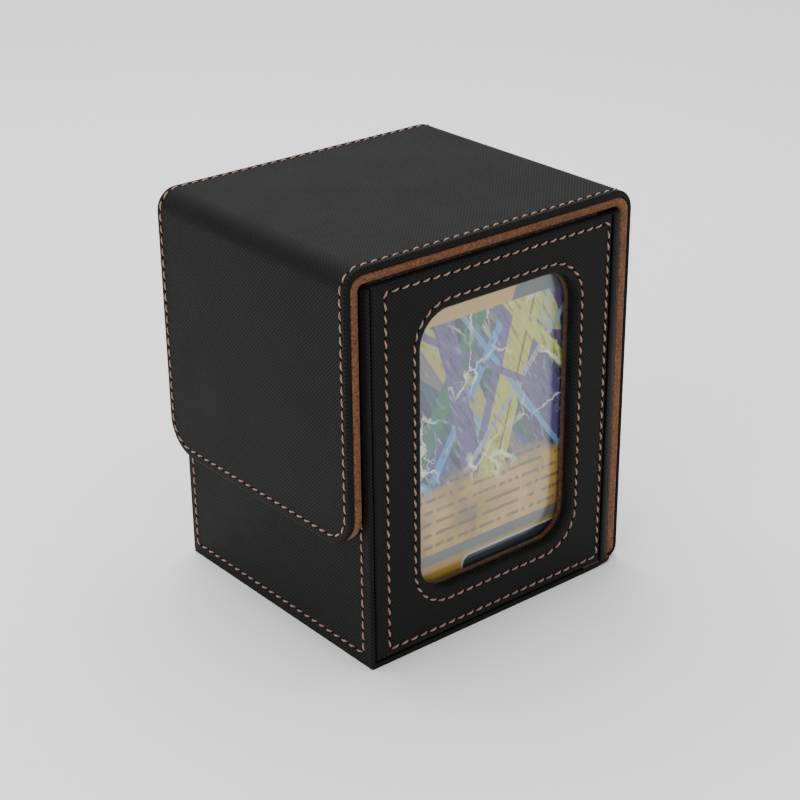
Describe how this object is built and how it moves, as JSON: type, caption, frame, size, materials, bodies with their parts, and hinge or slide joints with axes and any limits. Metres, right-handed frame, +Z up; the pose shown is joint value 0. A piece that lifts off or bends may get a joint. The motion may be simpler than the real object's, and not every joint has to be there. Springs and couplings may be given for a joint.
{
  "type": "card deck box",
  "caption": "Leather-covered deck box for trading cards, with a windowed display slot in front and a hinged strap lid that closes on hidden magnets.",
  "frame": {"origin": "middle of the underside, where the box stands", "axes": "+Z up, -Y out through the window in the front panel, -X out through the closure flap, +X towards the fixed end of the strap"},
  "size_m": [0.0978, 0.084, 0.1124],
  "materials": {
    "box_leather": "black imitation leather with a fine diagonal woven grain, satin",
    "strap_leather": "black imitation leather with a fine diagonal woven grain, satin",
    "suede": "brown microfibre suede, matte",
    "greyboard": "plain bookbinding board",
    "clear_sheet": "clear flexible vinyl sheet, glossy",
    "printed_card": null,
    "thread": "tan bonded polyester sewing thread",
    "magnet": "nickel-plated disc magnet"
  },
  "bodies": {
    "box": {"base_skin": "box_leather", "base_board": "greyboard", "floor_lining": "suede", "left_skin": "box_leather", "left_board": "greyboard", "left_lining": "suede", "right_skin": "box_leather", "right_board": "greyboard", "right_lining": "suede", "back_skin": "box_leather", "back_board": "greyboard", "back_lining": "suede", "front_skin": "box_leather", "front_board": "greyboard", "window_ring": "suede", "window_sheet": "clear_sheet", "slot_spacer": "greyboard", "display_card": "printed_card", "slot_back_board": "greyboard", "slot_back_lining": "suede", "wall_magnet_front": "magnet", "wall_magnet_rear": "magnet", "spine_lower_skin": "strap_leather", "spine_lower_board": "greyboard", "spine_lower_lining": "suede"},
    "spine": {"spine_upper_skin": "strap_leather", "spine_upper_board": "greyboard", "spine_upper_lining": "suede"},
    "lid": {"lid_skin": "strap_leather", "lid_board": "greyboard", "lid_lining": "suede"},
    "flap": {"flap_skin": "strap_leather", "flap_board": "greyboard", "flap_lining": "suede", "flap_magnet_front": "magnet", "flap_magnet_rear": "magnet"}
  },
  "joints": [
    {"name": "spine_crease", "type": "hinge", "parent": "box", "child": "spine", "pos_m": [0.0489, 0, 0.0737], "axis": [0, 1, 0], "range_deg": [0, 60]},
    {"name": "top_fold", "type": "hinge", "parent": "spine", "child": "lid", "pos_m": [0.04714, 0, 0.11064], "axis": [0, 1, 0], "range_deg": [0, 90]},
    {"name": "flap_fold", "type": "hinge", "parent": "lid", "child": "flap", "pos_m": [-0.04714, 0, 0.11064], "axis": [0, 1, 0], "range_deg": [0, 90]}
  ],
  "couplings": [
    {"joint": "spine_crease", "follows": "top_fold", "ratio": 0.66666}
  ]
}
